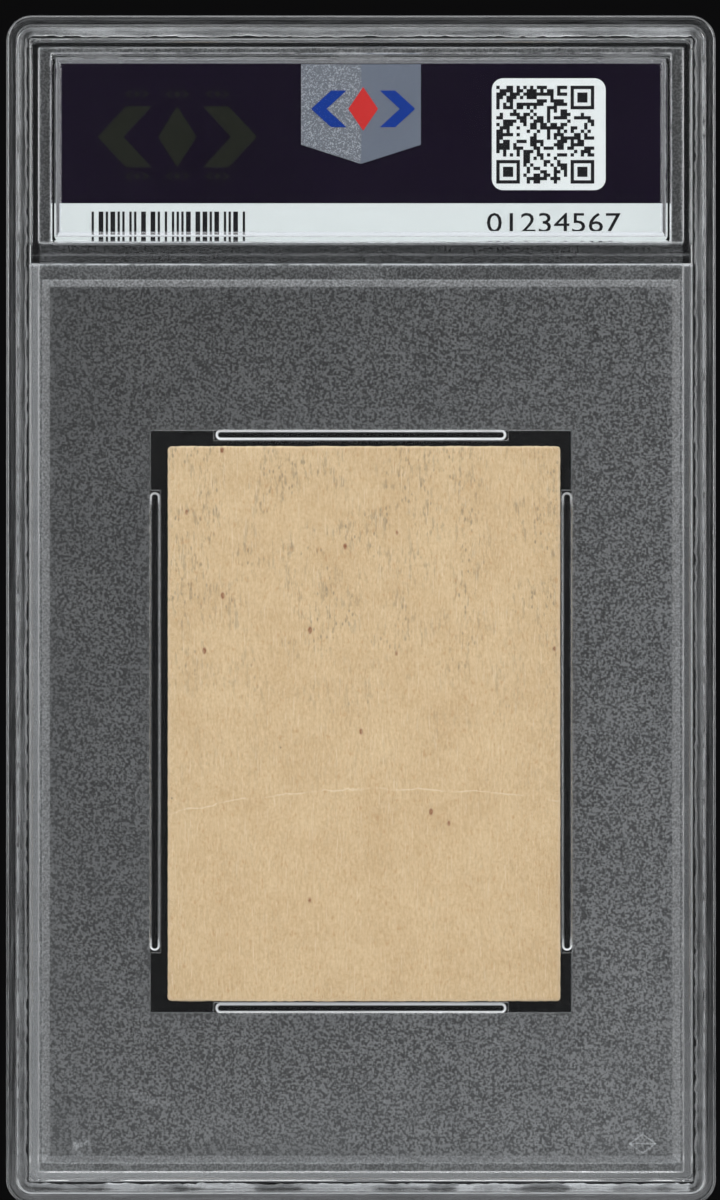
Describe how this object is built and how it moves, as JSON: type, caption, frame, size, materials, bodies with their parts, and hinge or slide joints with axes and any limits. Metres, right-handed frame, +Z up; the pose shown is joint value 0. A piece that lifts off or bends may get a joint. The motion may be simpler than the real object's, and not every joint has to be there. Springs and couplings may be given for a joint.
{
  "type": "graded card slab",
  "caption": "Flat clear holder of welded plastic shells with a frosted panel, sealing a loose collector's card in a window below a printed label.",
  "frame": {"origin": "middle of the bottom edge, at half the thickness", "axes": "+Z up along the height towards the label, +X along the width, +Y from the rear face to the front face"},
  "size_m": [0.081, 0.0064, 0.1358],
  "materials": {
    "clear_plastic": "clear injection-moulded acrylic or polycarbonate, polished, with a fine frosted texture on the inner panel",
    "weld_plastic": "whitened ultrasonic weld, rough and broken",
    "label_print": "coated paper, printed near-black purple above a white band on the rear",
    "seal_foil": "silver foil, half of it glittery",
    "card_board": "aged buff card stock with fibres and specks"
  },
  "bodies": {
    "holder": {"front_shell": "clear_plastic", "rear_shell": "clear_plastic", "perimeter_weld_bead": "weld_plastic", "weld_pad_top_left": "weld_plastic", "weld_pad_top_middle": "weld_plastic", "weld_pad_top_right": "weld_plastic", "weld_pad_divider_left": "weld_plastic", "weld_pad_divider_middle": "weld_plastic", "weld_pad_divider_right": "weld_plastic", "weld_pad_bottom_left": "weld_plastic", "weld_pad_bottom_middle": "weld_plastic", "weld_pad_bottom_right": "weld_plastic", "label": "label_print", "foil_seal": "seal_foil"},
    "card": {"card": "card_board"}
  },
  "joints": [
    {"name": "card_float", "type": "slide", "parent": "holder", "child": "card", "axis": [0, 0, 1], "range_m": [0, 0.0005]}
  ]
}
